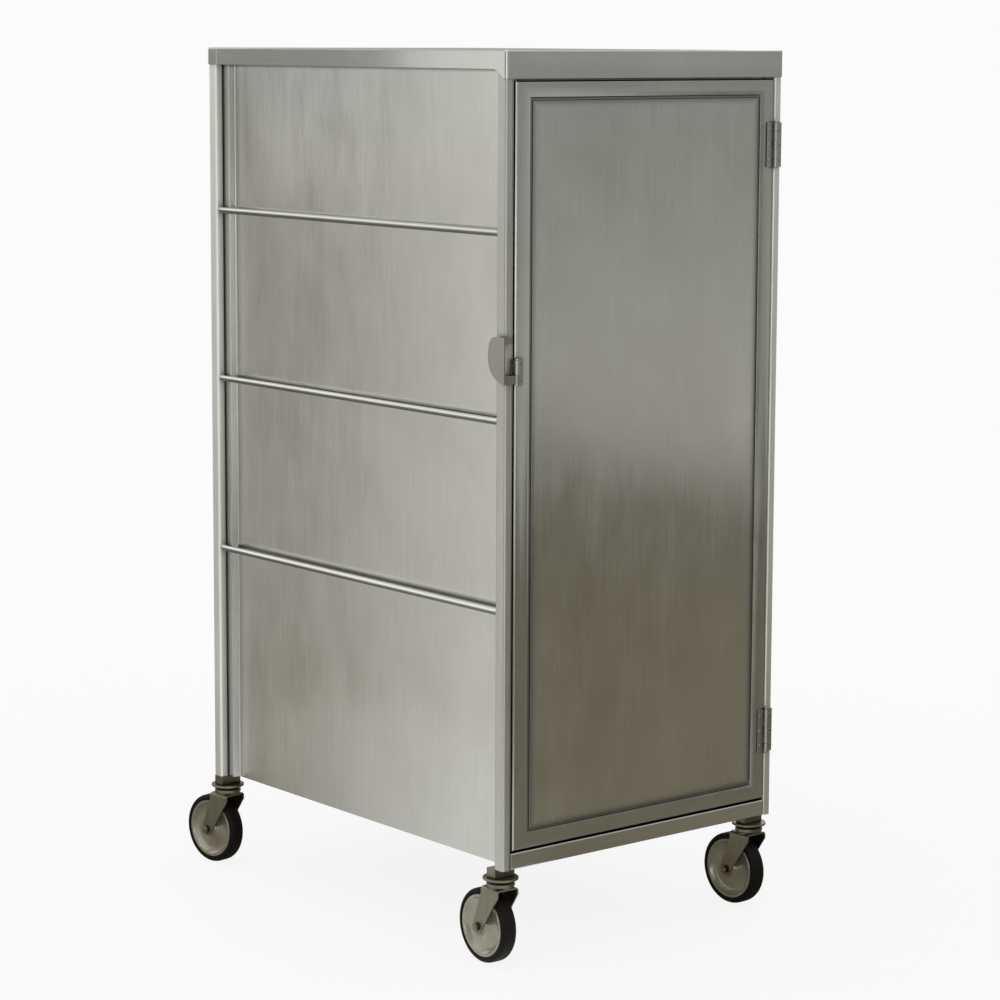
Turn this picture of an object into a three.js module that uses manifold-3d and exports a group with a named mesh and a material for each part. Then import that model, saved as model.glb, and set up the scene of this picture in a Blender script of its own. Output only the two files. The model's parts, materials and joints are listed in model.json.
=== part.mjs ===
// Enclosed meal tray cart: a stainless steel cabinet on four swivel casters,
// with one hinged door, a wrap-round latch, rub rods along both sides and
// ledges inside for ten levels of trays, two trays deep.
//
// Millimetres, +Z up, door facing -Y. While the pieces are made, X and Y are
// measured from the middle of the cabinet and Z from the floor. The finished
// cart is then shifted so that the middle of its whole outline is at X = Y = 0.

import * as THREE from 'three';
import { mergeVertices } from 'three/addons/utils/BufferGeometryUtils.js';
import Module from 'manifold-3d';

const wasm = await Module();
wasm.setup();

// ---------------------------------------------------------------- sizes

// cabinet
const bodyWidth = 610;
const bodyDepth = 846;
const cartHeight = 1510;
const bodyBottom = 171;          // underside of the cabinet above the floor
const seam = 0.3;                // gap between pieces that are welded or riveted together
const bendRadius = 2.6;          // outside radius of folded sheet

// top cap
const capSheet = 1.5;
const frontLip = 45;             // height of the lip over the door
const sideLip = 30;              // height of the lip along the sides and back
const lipRamp = 24;              // sloping length from the front lip up to the side lip
const capCorner = 5.5;           // radius of the cap's corners, seen from above
const capEdge = 2.5;             // rounding of the cap's top edge
const lapLength = 26;            // folded lap on each side at the rear corners
const lapSheet = 0.8;

// corner posts
const postWide = 16;             // across the cart
const postDeep = 23;             // along the cart
const postWall = 1.5;
const postRadius = 4;

// side and rear walls
const wallSheet = 1.2;
const lapInset = 2;              // the side wall's lap starts this far behind the post's face
const jambStrip = 16;            // strip of side wall beside each post
const joggleRun = 3;             // length of the slope from the strip to the panel
const panelRecess = 29;          // main side panel behind the posts' outer faces
const rearRecess = 8;            // rear panel behind the posts' rear faces

// rub rods
const rodRadius = 5.5;
const rodDrops = { lower: 909, middle: 596, upper: 291 };   // below the cart's top

// frame rails, jambs and floor
const railSheet = 1.5;
const railHeight = 28;
const stopLip = 18;              // the door's stop above the front rail and below the header
const headerDrop = 22;           // how far the header's stop hangs below the front lip
const headerInset = 2;
const jambWide = 45;             // jamb's inner edge from the cabinet's side
const jambReturn = 21;
const floorSheet = 1.5;
const floorSkirt = 24;

// ledge racks
const levels = 10;
const levelPitch = 121;
const firstLevel = 235;
const ledgeSheet = 1.5;
const ledgeWide = 34;
const ledgeTall = 18;
const ledgeLength = 772;
const ledgeNose = 8;             // corner cut off the front end of each ledge
const standardWide = 20;
const standardThick = 3;
const standardInset = 60;        // from the ledge's ends
const standardSpare = 25;        // standards run past the lowest and highest ledge

// door
const doorThick = 20;
const doorSheet = 1.2;
const doorGap = 3.5;             // above and below the door
const latchGap = 5;
const hingeGap = 2.5;
const doorEdge = 2;              // bevel round the door's front edges
const doorBorder = 14;           // flat border at the top, bottom and hinge side
const latchBorder = 22;          // flat border at the latch side
const recessRun = 12;            // width of the slope inside the border
const recessDeep = 5;            // depth of the pressed panel behind the border
const grooveDeep = 3;            // stiffening groove pressed round the panel
const grooveFloor = 3.5;
const grooveSlope = 1.2;
const linerFlange = 10;
const gasketWide = 12;
const gasketThick = 4.9;
const gasketInset = 3;
const gasketRound = 1.2;

// hinges
const hingeInsets = { lower: 122.5, upper: 111.5 };   // hinge's middle from the door's bottom and top
const hingeTall = 76;
const knuckles = 5;
const knuckleRadius = 4.5;
const knuckleGap = 0.4;
const leafThick = 2;
const leafReach = 17;            // from the pin's centre
const pinRadius = 2.4;
const boreClearance = 0.12;
const pinHeadThick = 2;

// latch
const latchHeight = 1016;        // middle of the handle
const latchTall = 76;
const latchPinInset = 18.5;      // latch pin from the cart's side
const latchPinStand = 7;         // latch pin in front of the door's face
const latchEye = 5;              // radius of the eyes round the latch pin
const latchPinRadius = 2.5;
const latchPlateWide = 14;
const latchPlateThick = 2.5;
const latchPlateSpare = 4;       // base plate beyond the arm and the lug
const lugTop = 38;               // above the handle's foot
const lowerArmTall = 14;
const upperArmTall = 11;
const upperArmEnd = 8;           // the upper arm stops this far from the cart's side
const armThick = 5;
const paddleThick = 2.5;
const paddleStand = 7;           // inner face of the paddle from the post
const paddleDeep = 32;           // how far the paddle reaches back along the cart's side
const keeperStand = 4;
const keeperDeep = 6;
const keeperTall = 24;
const keeperStart = 8;           // keeper's front edge behind the post's face
const hookDeep = 3;
const hookClearance = 0.5;

// feet and casters
const footWide = 42;
const footDeep = 22;
const footWall = 3;
const frontFootInset = 20;       // behind the posts' front faces
const rearFootInset = 1;
const casterHeight = 154;
const wheelDiameter = 127;
const treadWide = 30;
const tyreThick = 10.5;
const tyreRound = 9;
const hubWide = 28;
const hubWeb = 14;
const hubRim = 5;
const bossRadius = 13;
const bossFlare = 11;            // the boss widens by this much down to the web
const bossWide = 37;
const axleRadius = 4;
const axleClearance = 0.15;
const casterTrail = 35;          // axle behind the swivel axis
const plateRadius = 30;
const plateThick = 4;
const raceRadius = 21;
const raceThick = 3.6;
const crownRadius = 24;
const crownThick = 10;
const forkPlate = 3;
const forkInside = 39;           // clear width between the fork's legs
const forkFront = 20;            // fork's leading edge ahead of the swivel axis
const forkBack = 25;
const forkRoot = 12;             // height of the legs' straight part below the crown
const legEnd = 12;               // radius round the axle
const kingpinRadius = 5;
const kingpinHead = 9;
const kingpinHeadThick = 4.5;
const kingpinReach = 9;          // length inside the foot
const nutRadius = 7.5;
const nutThick = 5.5;
const casterHeading = {          // degrees that each caster has turned from straight ahead
  front_left: -2,
  front_right: 2,
  rear_left: 8,
  rear_right: 9,
};

// facets
const wheelSides = 24;             // a multiple of four, so that the wheel stands on a flat
const turnedSides = 16;
const pinSides = 12;

// ---------------------------------------------------------------- worked out from the sizes

const halfWidth = bodyWidth / 2;
const halfDepth = bodyDepth / 2;
const postTop = cartHeight - capSheet - seam;
const lipBottom = cartHeight - frontLip;
const railTop = bodyBottom + railHeight;
const lapFace = postWide + seam;                        // side wall's strip, from the cart's side
const frameStart = lapFace + wallSheet + seam;          // rails and jambs start here
const panelInner = panelRecess + wallSheet;
const capOverhang = capSheet + seam;                    // the cap's lips lie outside the posts
const stopFace = doorThick + seam + gasketThick + seam; // what the gasket closes against
const doorBottom = railTop + doorGap;
const doorTop = lipBottom - doorGap;
const wheelRadius = wheelDiameter / 2;
const overFlats = 1 / Math.cos(Math.PI / wheelSides);
const footTop = bodyBottom - seam;
const footBottom = casterHeight + seam;

// ---------------------------------------------------------------- helpers

const sides = { left: -1, right: 1 };
const ends = { front: -1, rear: 1 };

/** X of a place that lies `inset` inboard of the cabinet's left or right side. */
const fromSide = (side, inset) => side * (halfWidth - inset);

/** Y of a place that lies `inset` inside the cabinet's front or rear. */
const fromEnd = (end, inset) => end * (halfDepth - inset);

function block(xa, xb, ya, yb, za, zb) {
  const geometry = new THREE.BoxGeometry(Math.abs(xb - xa), Math.abs(yb - ya), Math.abs(zb - za));
  return geometry.translate((xa + xb) / 2, (ya + yb) / 2, (za + zb) / 2);
}

const pointList = (pairs) => pairs.map(([u, v]) => new THREE.Vector2(u, v));
const outline = (pairs) => new THREE.Shape(pointList(pairs));

function roundedRectangle(uLow, uHigh, vLow, vHigh, radius) {
  const shape = new THREE.Shape();
  shape.absarc(uHigh - radius, vHigh - radius, radius, 0, Math.PI / 2);
  shape.absarc(uLow + radius, vHigh - radius, radius, Math.PI / 2, Math.PI);
  shape.absarc(uLow + radius, vLow + radius, radius, Math.PI, 1.5 * Math.PI);
  shape.absarc(uHigh - radius, vLow + radius, radius, 1.5 * Math.PI, 2 * Math.PI);
  return shape;
}

/** Rounds the inner corners of an open line, as a press brake does. */
function withBends(pairs, radius, steps = 3) {
  const points = pointList(pairs);
  const line = [points[0]];
  for (let i = 1; i < points.length - 1; i += 1) {
    const back = points[i - 1].clone().sub(points[i]).normalize();
    const ahead = points[i + 1].clone().sub(points[i]).normalize();
    const halfAngle = Math.acos(THREE.MathUtils.clamp(back.dot(ahead), -1, 1)) / 2;
    const setback = radius / Math.tan(halfAngle);
    const middle = back.clone().add(ahead).normalize();
    const centre = points[i].clone().addScaledVector(middle, radius / Math.sin(halfAngle));
    const first = points[i].clone().addScaledVector(back, setback).sub(centre);
    const last = points[i].clone().addScaledVector(ahead, setback).sub(centre);
    const turn = Math.atan2(first.cross(last), first.dot(last));
    for (let step = 0; step <= steps; step += 1) {
      const arm = first.clone().rotateAround(new THREE.Vector2(), (turn * step) / steps);
      line.push(centre.clone().add(arm));
    }
  }
  line.push(points[points.length - 1]);
  return line;
}

/** The same line, moved to its left by a distance and mitred at its corners. */
function offsetLine(line, distance) {
  return line.map((point, i) => {
    const before = line[Math.max(i - 1, 0)];
    const after = line[Math.min(i + 1, line.length - 1)];
    const into = (i > 0 ? point.clone().sub(before) : after.clone().sub(point)).normalize();
    const out = (i < line.length - 1 ? after.clone().sub(point) : into.clone()).normalize();
    const normalIn = new THREE.Vector2(-into.y, into.x);
    const middle = normalIn.clone().add(new THREE.Vector2(-out.y, out.x)).normalize();
    return point.clone().addScaledVector(middle, distance / middle.dot(normalIn));
  });
}

/** Closed section of a sheet whose one face follows a line. */
const sheetSection = (line, thickness) => (
  new THREE.Shape([...line, ...offsetLine(line, thickness).reverse()]));

const alongX = new THREE.Matrix4().makeBasis(
  new THREE.Vector3(0, 1, 0), new THREE.Vector3(0, 0, 1), new THREE.Vector3(1, 0, 0));
const alongY = new THREE.Matrix4().makeBasis(
  new THREE.Vector3(0, 0, 1), new THREE.Vector3(1, 0, 0), new THREE.Vector3(0, 1, 0));

const extruded = (shape, length, options = {}) => new THREE.ExtrudeGeometry(
  shape, { depth: length, bevelEnabled: false, curveSegments: 3, ...options });

/** Section in X and Y, run up from zLow to zHigh. */
const runZ = (shape, zLow, zHigh, options) => (
  extruded(shape, zHigh - zLow, options).translate(0, 0, zLow));

/** Section in Y and Z, run from xLow to xHigh. */
const runX = (shape, xLow, xHigh, options) => (
  extruded(shape, xHigh - xLow, options).applyMatrix4(alongX).translate(xLow, 0, 0));

/** Section in Z and X, run from yLow to yHigh. */
const runY = (shape, yLow, yHigh, options) => (
  extruded(shape, yHigh - yLow, options).applyMatrix4(alongY).translate(0, yLow, 0));

const upright = (radius, zLow, zHigh, count = turnedSides) => (
  new THREE.CylinderGeometry(radius, radius, zHigh - zLow, count)
    .rotateX(Math.PI / 2).translate(0, 0, (zLow + zHigh) / 2));

const crosswise = (radius, xLow, xHigh, count = turnedSides) => (
  new THREE.CylinderGeometry(radius, radius, xHigh - xLow, count)
    .rotateZ(-Math.PI / 2).translate((xLow + xHigh) / 2, 0, 0));

/** Turned piece about Z from pairs of radius and height; a profile off the axis closes on itself. */
const turned = (pairs, count = turnedSides) => (
  new THREE.LatheGeometry(pointList(pairs), count).rotateX(Math.PI / 2));

/** Upright pin through knuckles that stand from 0 to `tall`, with a flat head at each end. */
const headedPin = (radius, headRadius, tall) => turned([
  [0, -seam - pinHeadThick], [headRadius, -seam - pinHeadThick], [headRadius, -seam], [radius, -seam],
  [radius, tall + seam], [headRadius, tall + seam], [headRadius, tall + seam + pinHeadThick],
  [0, tall + seam + pinHeadThick],
], pinSides);

/** Body through a row of rectangles in X and Z, each at its own Y, closed by the first and the last. */
function stacked(...rings) {
  const corners = rings.flatMap(({ x: [xa, xb], z: [za, zb], y }) => (
    [xa, y, za, xb, y, za, xb, y, zb, xa, y, zb]));
  const last = (rings.length - 1) * 4;
  const faces = [0, 1, 2, 0, 2, 3, last, last + 2, last + 1, last, last + 3, last + 2];
  for (let ring = 0; ring < last; ring += 4) {
    for (let corner = 0; corner < 4; corner += 1) {
      const next = (corner + 1) % 4;
      faces.push(ring + corner, ring + 4 + corner, ring + 4 + next);
      faces.push(ring + corner, ring + 4 + next, ring + next);
    }
  }
  const geometry = new THREE.BufferGeometry();
  geometry.setAttribute('position', new THREE.Float32BufferAttribute(corners, 3));
  geometry.setIndex(faces);
  return geometry;
}

const inset = ({ x: [xa, xb], z: [za, zb] }, by, y) => ({ x: [xa + by, xb - by], z: [za + by, zb - by], y });

function asSolid(geometry) {
  const bare = geometry.clone();
  bare.deleteAttribute('normal');
  bare.deleteAttribute('uv');
  const merged = mergeVertices(bare, 1e-4);
  return new wasm.Manifold(new wasm.Mesh({
    numProp: 3,
    vertProperties: new Float32Array(merged.attributes.position.array),
    triVerts: new Uint32Array(merged.index.array),
  }));
}

function asGeometry(solid) {
  const { vertProperties, triVerts } = solid.getMesh();
  const geometry = new THREE.BufferGeometry();
  geometry.setAttribute('position', new THREE.BufferAttribute(vertProperties, 3));
  geometry.setIndex(new THREE.BufferAttribute(triVerts, 1));
  geometry.computeVertexNormals();
  return geometry;
}

const joined = (...geometries) => asGeometry(
  geometries.map(asSolid).reduce((sum, solid) => sum.add(solid)));

const cut = (geometry, ...tools) => asGeometry(
  tools.map(asSolid).reduce((rest, tool) => rest.subtract(tool), asSolid(geometry)));

const common = (a, b) => asGeometry(asSolid(a).intersect(asSolid(b)));

const finishes = {
  brushed: { color: 0x9b9b94, roughness: 0.38, metalness: 1 },
  polished: { color: 0xc2c2bc, roughness: 0.2, metalness: 1 },
  zinc: { color: 0xb4b2a8, roughness: 0.32, metalness: 1 },
  hubGrey: { color: 0xaab0a4, roughness: 0.5, metalness: 0 },
  rubber: { color: 0x1c1b1a, roughness: 0.75, metalness: 0 },
  seal: { color: 0x3a3a39, roughness: 0.7, metalness: 0 },
};

const cart = new THREE.Group();

function piece(name, geometry, finish, parent = cart) {
  const mesh = new THREE.Mesh(geometry, new THREE.MeshStandardMaterial(finishes[finish]));
  mesh.name = name;
  parent.add(mesh);
  return mesh;
}

// ---------------------------------------------------------------- top cap

function topCap() {
  const wide = halfWidth + capOverhang;
  const deep = halfDepth + capOverhang;
  const plan = roundedRectangle(-wide, wide, -deep, deep, capCorner);
  const rounded = runZ(plan, lipBottom - 2 * capEdge, cartHeight - capEdge, {
    bevelEnabled: true, bevelThickness: capEdge, bevelSize: capEdge, bevelOffset: -capEdge, bevelSegments: 3,
  });
  const room = capSheet + capEdge + deep;
  const keep = block(-2 * wide, 2 * wide, -2 * deep, 2 * deep, lipBottom, cartHeight + capEdge);
  const inside = runZ(
    roundedRectangle(
      -wide + capSheet, wide - capSheet, -deep + capSheet, deep - capSheet, capCorner - capSheet),
    lipBottom - capEdge, cartHeight - capSheet);

  // below the side lip everything behind the sloping ramp is cut away
  const lipBase = cartHeight - sideLip;
  const rampFoot = -deep + capCorner;
  const sideTrim = runX(outline([
    [rampFoot, lipBottom - capEdge], [rampFoot, lipBottom], [rampFoot + lipRamp, lipBase],
    [room, lipBase], [room, lipBottom - capEdge],
  ]), -2 * wide, 2 * wide);
  const shell = cut(common(rounded, keep), inside, sideTrim);

  // at the rear corners the back lip is folded round and lapped over the side lips
  const laps = Object.values(sides).map((side) => block(
    side * (wide - lapSheet / 2), side * (wide + lapSheet), deep - capCorner, deep - capCorner - lapLength,
    lipBase, cartHeight - capEdge));
  piece('top_cap', joined(shell, ...laps), 'brushed');
}

// ---------------------------------------------------------------- posts, walls and rods

function cornerPosts() {
  for (const [endName, end] of Object.entries(ends)) {
    for (const [sideName, side] of Object.entries(sides)) {
      const xs = [fromSide(side, 0), fromSide(side, postWide)].sort((a, b) => a - b);
      const ys = [fromEnd(end, 0), fromEnd(end, postDeep)].sort((a, b) => a - b);
      const section = roundedRectangle(...xs, ...ys, postRadius);
      section.holes.push(roundedRectangle(
        xs[0] + postWall, xs[1] - postWall, ys[0] + postWall, ys[1] - postWall, postRadius - postWall));
      piece(`corner_post_${endName}_${sideName}`, runZ(section, bodyBottom, postTop), 'brushed');
    }
  }
}

function sidePanels() {
  const stripEnd = postDeep + jambStrip;
  for (const [sideName, side] of Object.entries(sides)) {
    const halfLine = [[lapFace, lapInset], [lapFace, stripEnd], [panelRecess, stripEnd + joggleRun]];
    const line = withBends([
      ...halfLine.map(([x, y]) => [fromSide(side, x), fromEnd(-1, y)]),
      ...halfLine.toReversed().map(([x, y]) => [fromSide(side, x), fromEnd(1, y)]),
    ], bendRadius);
    const section = sheetSection(line, side * wallSheet);
    piece(`side_panel_${sideName}`, runZ(section, bodyBottom, postTop), 'brushed');
  }
}

function rearPanel() {
  const inner = fromEnd(1, rearRecess + wallSheet);
  const flangeEnd = fromEnd(1, lapInset);
  const line = withBends([
    [fromSide(-1, frameStart), flangeEnd], [fromSide(-1, frameStart), inner],
    [fromSide(1, frameStart), inner], [fromSide(1, frameStart), flangeEnd],
  ], bendRadius);
  piece('rear_panel', runZ(sheetSection(line, wallSheet), bodyBottom, postTop), 'brushed');
}

function rubRods() {
  const length = bodyDepth - 2 * (postDeep + seam);
  for (const [sideName, side] of Object.entries(sides)) {
    for (const [rodName, drop] of Object.entries(rodDrops)) {
      const rod = new THREE.CylinderGeometry(rodRadius, rodRadius, length, pinSides);
      const mesh = piece(`rub_rod_${sideName}_${rodName}`, rod, 'polished');
      mesh.position.set(fromSide(side, postWide / 2), 0, cartHeight - drop);
    }
  }
}

// ---------------------------------------------------------------- rails, jambs and floor

/** Channel open to the rear, with a stop for the door standing beyond one flange. */
function frontRail(name, zLow, zHigh, faceInset, stopFrom, stopTo) {
  const face = fromEnd(-1, faceInset);
  const back = fromEnd(-1, postDeep);
  const channel = withBends([[back, zLow], [face, zLow], [face, zHigh], [back, zHigh]], bendRadius);
  const length = halfWidth - frameStart;
  const shelf = stopTo > stopFrom ? zHigh - railSheet : zLow;
  const stopInner = halfWidth - jambWide - seam;
  const stopBack = fromEnd(-1, stopFace + railSheet);
  piece(name, joined(
    runX(sheetSection(channel, -railSheet), -length, length),
    block(-stopInner, stopInner, face + bendRadius, stopBack, shelf, shelf + railSheet),
    block(-stopInner, stopInner, fromEnd(-1, stopFace), stopBack, stopFrom, stopTo),
  ), 'brushed');
}

function rearRail() {
  const web = fromEnd(1, rearRecess + wallSheet + seam);
  const open = fromEnd(1, postDeep);
  const top = railTop - seam;
  const line = withBends([[open, bodyBottom], [web, bodyBottom], [web, top], [open, top]], bendRadius);
  const length = halfWidth - frameStart;
  piece('rear_bottom_rail', runX(sheetSection(line, railSheet), -length, length), 'brushed');
}

function frontJambs() {
  for (const [sideName, side] of Object.entries(sides)) {
    const line = withBends([
      [frameStart, postDeep + jambStrip - 2 * bendRadius], [frameStart, stopFace],
      [jambWide, stopFace], [jambWide, stopFace + jambReturn],
    ].map(([x, y]) => [fromSide(side, x), fromEnd(-1, y)]), bendRadius);
    const section = sheetSection(line, -side * railSheet);
    piece(`front_jamb_${sideName}`, runZ(section, bodyBottom, postTop), 'brushed');
  }
}

function floorPan() {
  const wide = halfWidth - panelInner - seam;
  const notch = halfWidth - jambWide - seam;
  const front = fromEnd(-1, stopFace + railSheet + seam);
  const notchEnd = fromEnd(-1, stopFace + jambReturn + seam);
  const rear = fromEnd(1, rearRecess + wallSheet + seam);
  const sheet = runZ(outline([
    [-notch, front], [notch, front], [notch, notchEnd], [wide, notchEnd],
    [wide, rear], [-wide, rear], [-wide, notchEnd], [-notch, notchEnd],
  ]), railTop, railTop + floorSheet);
  const skirtEnd = fromEnd(1, postDeep + seam);
  const skirts = Object.values(sides).map((side) => block(
    side * wide, side * (wide - floorSheet), notchEnd, skirtEnd,
    railTop - floorSkirt, railTop + floorSheet / 2));
  piece('floor_pan', joined(sheet, ...skirts), 'brushed');
}

// ---------------------------------------------------------------- tray ledge racks

/** Ten angle ledges welded to two flat standards, which hang on the side wall. */
function ledgeRacks() {
  const lastLevel = firstLevel + (levels - 1) * levelPitch;
  const middle = (fromEnd(-1, stopFace + jambReturn) + fromEnd(1, rearRecess)) / 2;
  const yFront = middle - ledgeLength / 2;
  const yRear = middle + ledgeLength / 2;
  const standardFace = panelInner + seam + standardThick;
  for (const [sideName, side] of Object.entries(sides)) {
    const standards = [yFront + standardInset, yRear - standardInset - standardWide].map((y) => block(
      fromSide(side, standardFace - standardThick), fromSide(side, standardFace), y, y + standardWide,
      firstLevel - standardSpare, lastLevel + standardSpare));
    const ledges = [];
    for (let level = 0; level < levels; level += 1) {
      const z = firstLevel + level * levelPitch;
      const back = standardFace - ledgeSheet / 2;
      const tip = standardFace + ledgeWide;
      ledges.push(block(
        fromSide(side, back), fromSide(side, standardFace + ledgeSheet), yFront, yRear, z - ledgeTall, z));
      const shelf = outline([
        [fromSide(side, back), yFront], [fromSide(side, tip - ledgeNose), yFront],
        [fromSide(side, tip), yFront + ledgeNose], [fromSide(side, tip), yRear],
        [fromSide(side, back), yRear],
      ]);
      ledges.push(runZ(shelf, z - ledgeSheet, z));
    }
    piece(`ledge_rack_${sideName}`, joined(...standards, ...ledges), 'brushed');
  }
}

// ---------------------------------------------------------------- door

const doorFace = {
  x: [fromSide(-1, postWide + latchGap), fromSide(1, postWide + hingeGap)],
  z: [doorBottom, doorTop],
};

/** Pressed outer skin: folded edges, a flat border, a sloping step in to the panel and a groove round it. */
function doorPan() {
  const front = fromEnd(-1, 0);
  const stepFoot = doorBorder + recessRun;
  const floorStart = stepFoot + grooveSlope;
  const floorEnd = floorStart + grooveFloor;
  const edgeLine = [[0, doorThick], [0, doorEdge], [doorEdge, 0]];
  const panelLine = [
    [doorBorder, 0], [stepFoot, recessDeep], [floorStart, recessDeep + grooveDeep],
    [floorEnd, recessDeep + grooveDeep], [floorEnd + grooveSlope, recessDeep],
    [floorEnd + doorBorder, recessDeep],
  ];
  const extra = latchBorder - doorBorder;
  const ringOf = ({ x: by, y: depth }, i) => {
    const ring = inset(doorFace, by, front + depth);
    return i < edgeLine.length ? ring : { ...ring, x: [ring.x[0] + extra, ring.x[1]] };
  };
  const line = pointList([...edgeLine, ...panelLine]);
  const outside = line.map(ringOf);
  const insideRings = offsetLine(line, doorSheet).map(ringOf);
  piece('door_pan', stacked(...outside.toReversed(), ...insideRings), 'brushed');
}

function doorLiner() {
  const back = fromEnd(-1, doorThick);
  const edge = doorSheet + seam;
  const tray = stacked(inset(doorFace, edge, back - linerFlange), inset(doorFace, edge, back));
  const hollow = stacked(
    inset(doorFace, edge + doorSheet, back - linerFlange - 1),
    inset(doorFace, edge + doorSheet, back - doorSheet));
  piece('door_liner', cut(tray, hollow), 'brushed');
}

function doorGasket() {
  const rectangle = inset(doorFace, gasketInset);
  const hole = inset(rectangle, gasketWide);
  const section = roundedRectangle(...rectangle.z, ...rectangle.x, gasketWide / 2);
  section.holes.push(roundedRectangle(...hole.z, ...hole.x, gasketRound));
  const yLow = fromEnd(-1, doorThick + seam);
  piece('door_gasket', runY(section, yLow + gasketRound, yLow + gasketThick - gasketRound, {
    bevelEnabled: true, bevelThickness: gasketRound, bevelSize: gasketRound, bevelOffset: -gasketRound,
    bevelSegments: 1,
  }), 'seal');
}

// ---------------------------------------------------------------- hinges

/** One leaf with its own knuckles. The leaf runs along `way`, and its face lies `stand` off the pin. */
function hingeLeaf(ownKnuckles, plate) {
  const pitch = hingeTall / knuckles;
  const zOf = (index) => [index * pitch + knuckleGap / 2, (index + 1) * pitch - knuckleGap / 2];
  const barrels = ownKnuckles.map((index) => upright(knuckleRadius, ...zOf(index), pinSides));
  const others = [...Array(knuckles).keys()].filter((index) => !ownKnuckles.includes(index));
  const notch = knuckleRadius + knuckleGap;
  const notches = others.map((index) => block(
    -notch, notch, -notch, notch, index * pitch - knuckleGap / 2, (index + 1) * pitch + knuckleGap / 2));
  const bore = upright(pinRadius + boreClearance, -1, hingeTall + 1, pinSides);
  return cut(joined(cut(plate, ...notches), ...barrels), bore);
}

/** Full-surface butt hinges: the barrel stands in front of the gap between the door and the post. */
function hinges() {
  const stand = knuckleRadius + seam;
  const leaf = [stand - seam - leafThick, stand - seam];
  const heights = { lower: doorBottom + hingeInsets.lower, upper: doorTop - hingeInsets.upper };
  for (const [name, height] of Object.entries(heights)) {
    const hinge = new THREE.Group();
    hinge.position.set(fromSide(1, postWide + hingeGap / 2), fromEnd(-1, -stand), height - hingeTall / 2);
    cart.add(hinge);
    const doorPlate = block(-leafReach, 0, ...leaf, 0, hingeTall);
    const postPlate = block(0, postWide + hingeGap / 2 - 1, ...leaf, 0, hingeTall);
    piece(`${name}_hinge_door_leaf`, hingeLeaf([1, 3], doorPlate), 'polished', hinge);
    piece(`${name}_hinge_post_leaf`, hingeLeaf([0, 2, 4], postPlate), 'polished', hinge);
    piece(`${name}_hinge_pin`, headedPin(pinRadius, knuckleRadius - 1, hingeTall), 'polished', hinge);
  }
}

// ---------------------------------------------------------------- latch

/** Made about the latch pin: X inboard along the door, Y back into the cart, Z from the handle's foot. */
function latch() {
  const group = new THREE.Group();
  group.position.set(fromSide(-1, latchPinInset), fromEnd(-1, -latchPinStand), latchHeight - latchTall / 2);
  cart.add(group);
  const doorPlane = latchPinStand;
  const postPlane = -latchPinInset;
  const bore = upright(latchPinRadius + boreClearance, -1, lugTop + 1, pinSides);

  // base plate on the door's border, with a lug that carries the pin in front of the gap
  const plateStart = postPlane + postWide + latchGap + 1;
  const plate = runY(
    roundedRectangle(
      -latchPlateSpare, lugTop + latchPlateSpare, plateStart, plateStart + latchPlateWide, latchPlateWide / 4),
    doorPlane - seam - latchPlateThick, doorPlane - seam);
  const lugLow = lowerArmTall + knuckleGap;
  const web = block(0, plateStart + 2, 2, doorPlane - seam, lugLow, lugTop);
  piece('latch_base', cut(joined(plate, web, upright(latchEye, lugLow, lugTop)), bore), 'polished', group);

  // handle: its lower arm turns on the pin, its upper arm only wraps the post's corner,
  // and its paddle lies along the cart's side
  const paddleInner = postPlane - paddleStand;
  const paddleOuter = paddleInner - paddleThick;
  const reach = doorPlane + paddleDeep;
  const armFront = -armThick / 2;
  const paddleShape = new THREE.Shape();
  paddleShape.moveTo(armFront, 0);
  paddleShape.quadraticCurveTo(reach, lowerArmTall / 2, reach, latchTall * 0.55);
  paddleShape.quadraticCurveTo(reach, latchTall, reach / 2, latchTall);
  paddleShape.lineTo(armFront, latchTall);
  const paddle = runX(paddleShape, paddleOuter, paddleInner, { curveSegments: 8 });
  const upperArm = block(
    paddleOuter, postPlane + upperArmEnd, armFront, -armFront, latchTall - upperArmTall, latchTall);
  const lowerArm = block(paddleOuter, 0, armFront, -armFront, 0, lowerArmTall);
  const keeperFront = doorPlane + keeperStart;
  const keeperBack = keeperFront + keeperDeep;
  const keeperLow = (latchTall - keeperTall) / 2;
  const hook = block(
    paddleInner - paddleThick / 2, postPlane - keeperStand - hookClearance,
    keeperBack + 1, keeperBack + 1 + hookDeep, keeperLow + 2, keeperLow + keeperTall - 2);
  const eye = upright(latchEye, 0, lowerArmTall);
  piece('latch_handle', cut(joined(paddle, hook, upperArm, lowerArm, eye), bore), 'polished', group);
  piece('latch_pin', headedPin(latchPinRadius, latchEye - 1.5, lugTop), 'polished', group);

  // keeper on the post's side, with a ramp for the hook to ride over
  piece('latch_keeper', runZ(outline([
    [postPlane - seam, keeperFront - keeperDeep], [postPlane - seam, keeperBack],
    [postPlane - keeperStand, keeperBack], [postPlane - keeperStand, keeperFront],
  ]), keeperLow, keeperLow + keeperTall), 'polished', group);
}

// ---------------------------------------------------------------- feet and casters

const footPlaces = Object.entries(ends).flatMap(([endName, end]) => (
  Object.entries(sides).map(([sideName, side]) => {
    const footInset = end < 0 ? frontFootInset : rearFootInset;
    return {
      name: `${endName}_${sideName}`,
      x: fromSide(side, footWide / 2),
      y: fromEnd(end, footInset + footDeep / 2),
    };
  })));

/** Pressed cup under the corner, which takes the caster's kingpin. */
function feet() {
  for (const { name, x, y } of footPlaces) {
    const shell = block(-footWide / 2, footWide / 2, -footDeep / 2, footDeep / 2, footBottom, footTop);
    const hollow = block(
      -footWide / 2 + footWall, footWide / 2 - footWall, -footDeep / 2 + footWall, footDeep / 2 - footWall,
      footBottom - 1, footTop - footWall);
    piece(`foot_${name}`, cut(shell, hollow), 'brushed').position.set(x, y, 0);
  }
}

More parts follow.
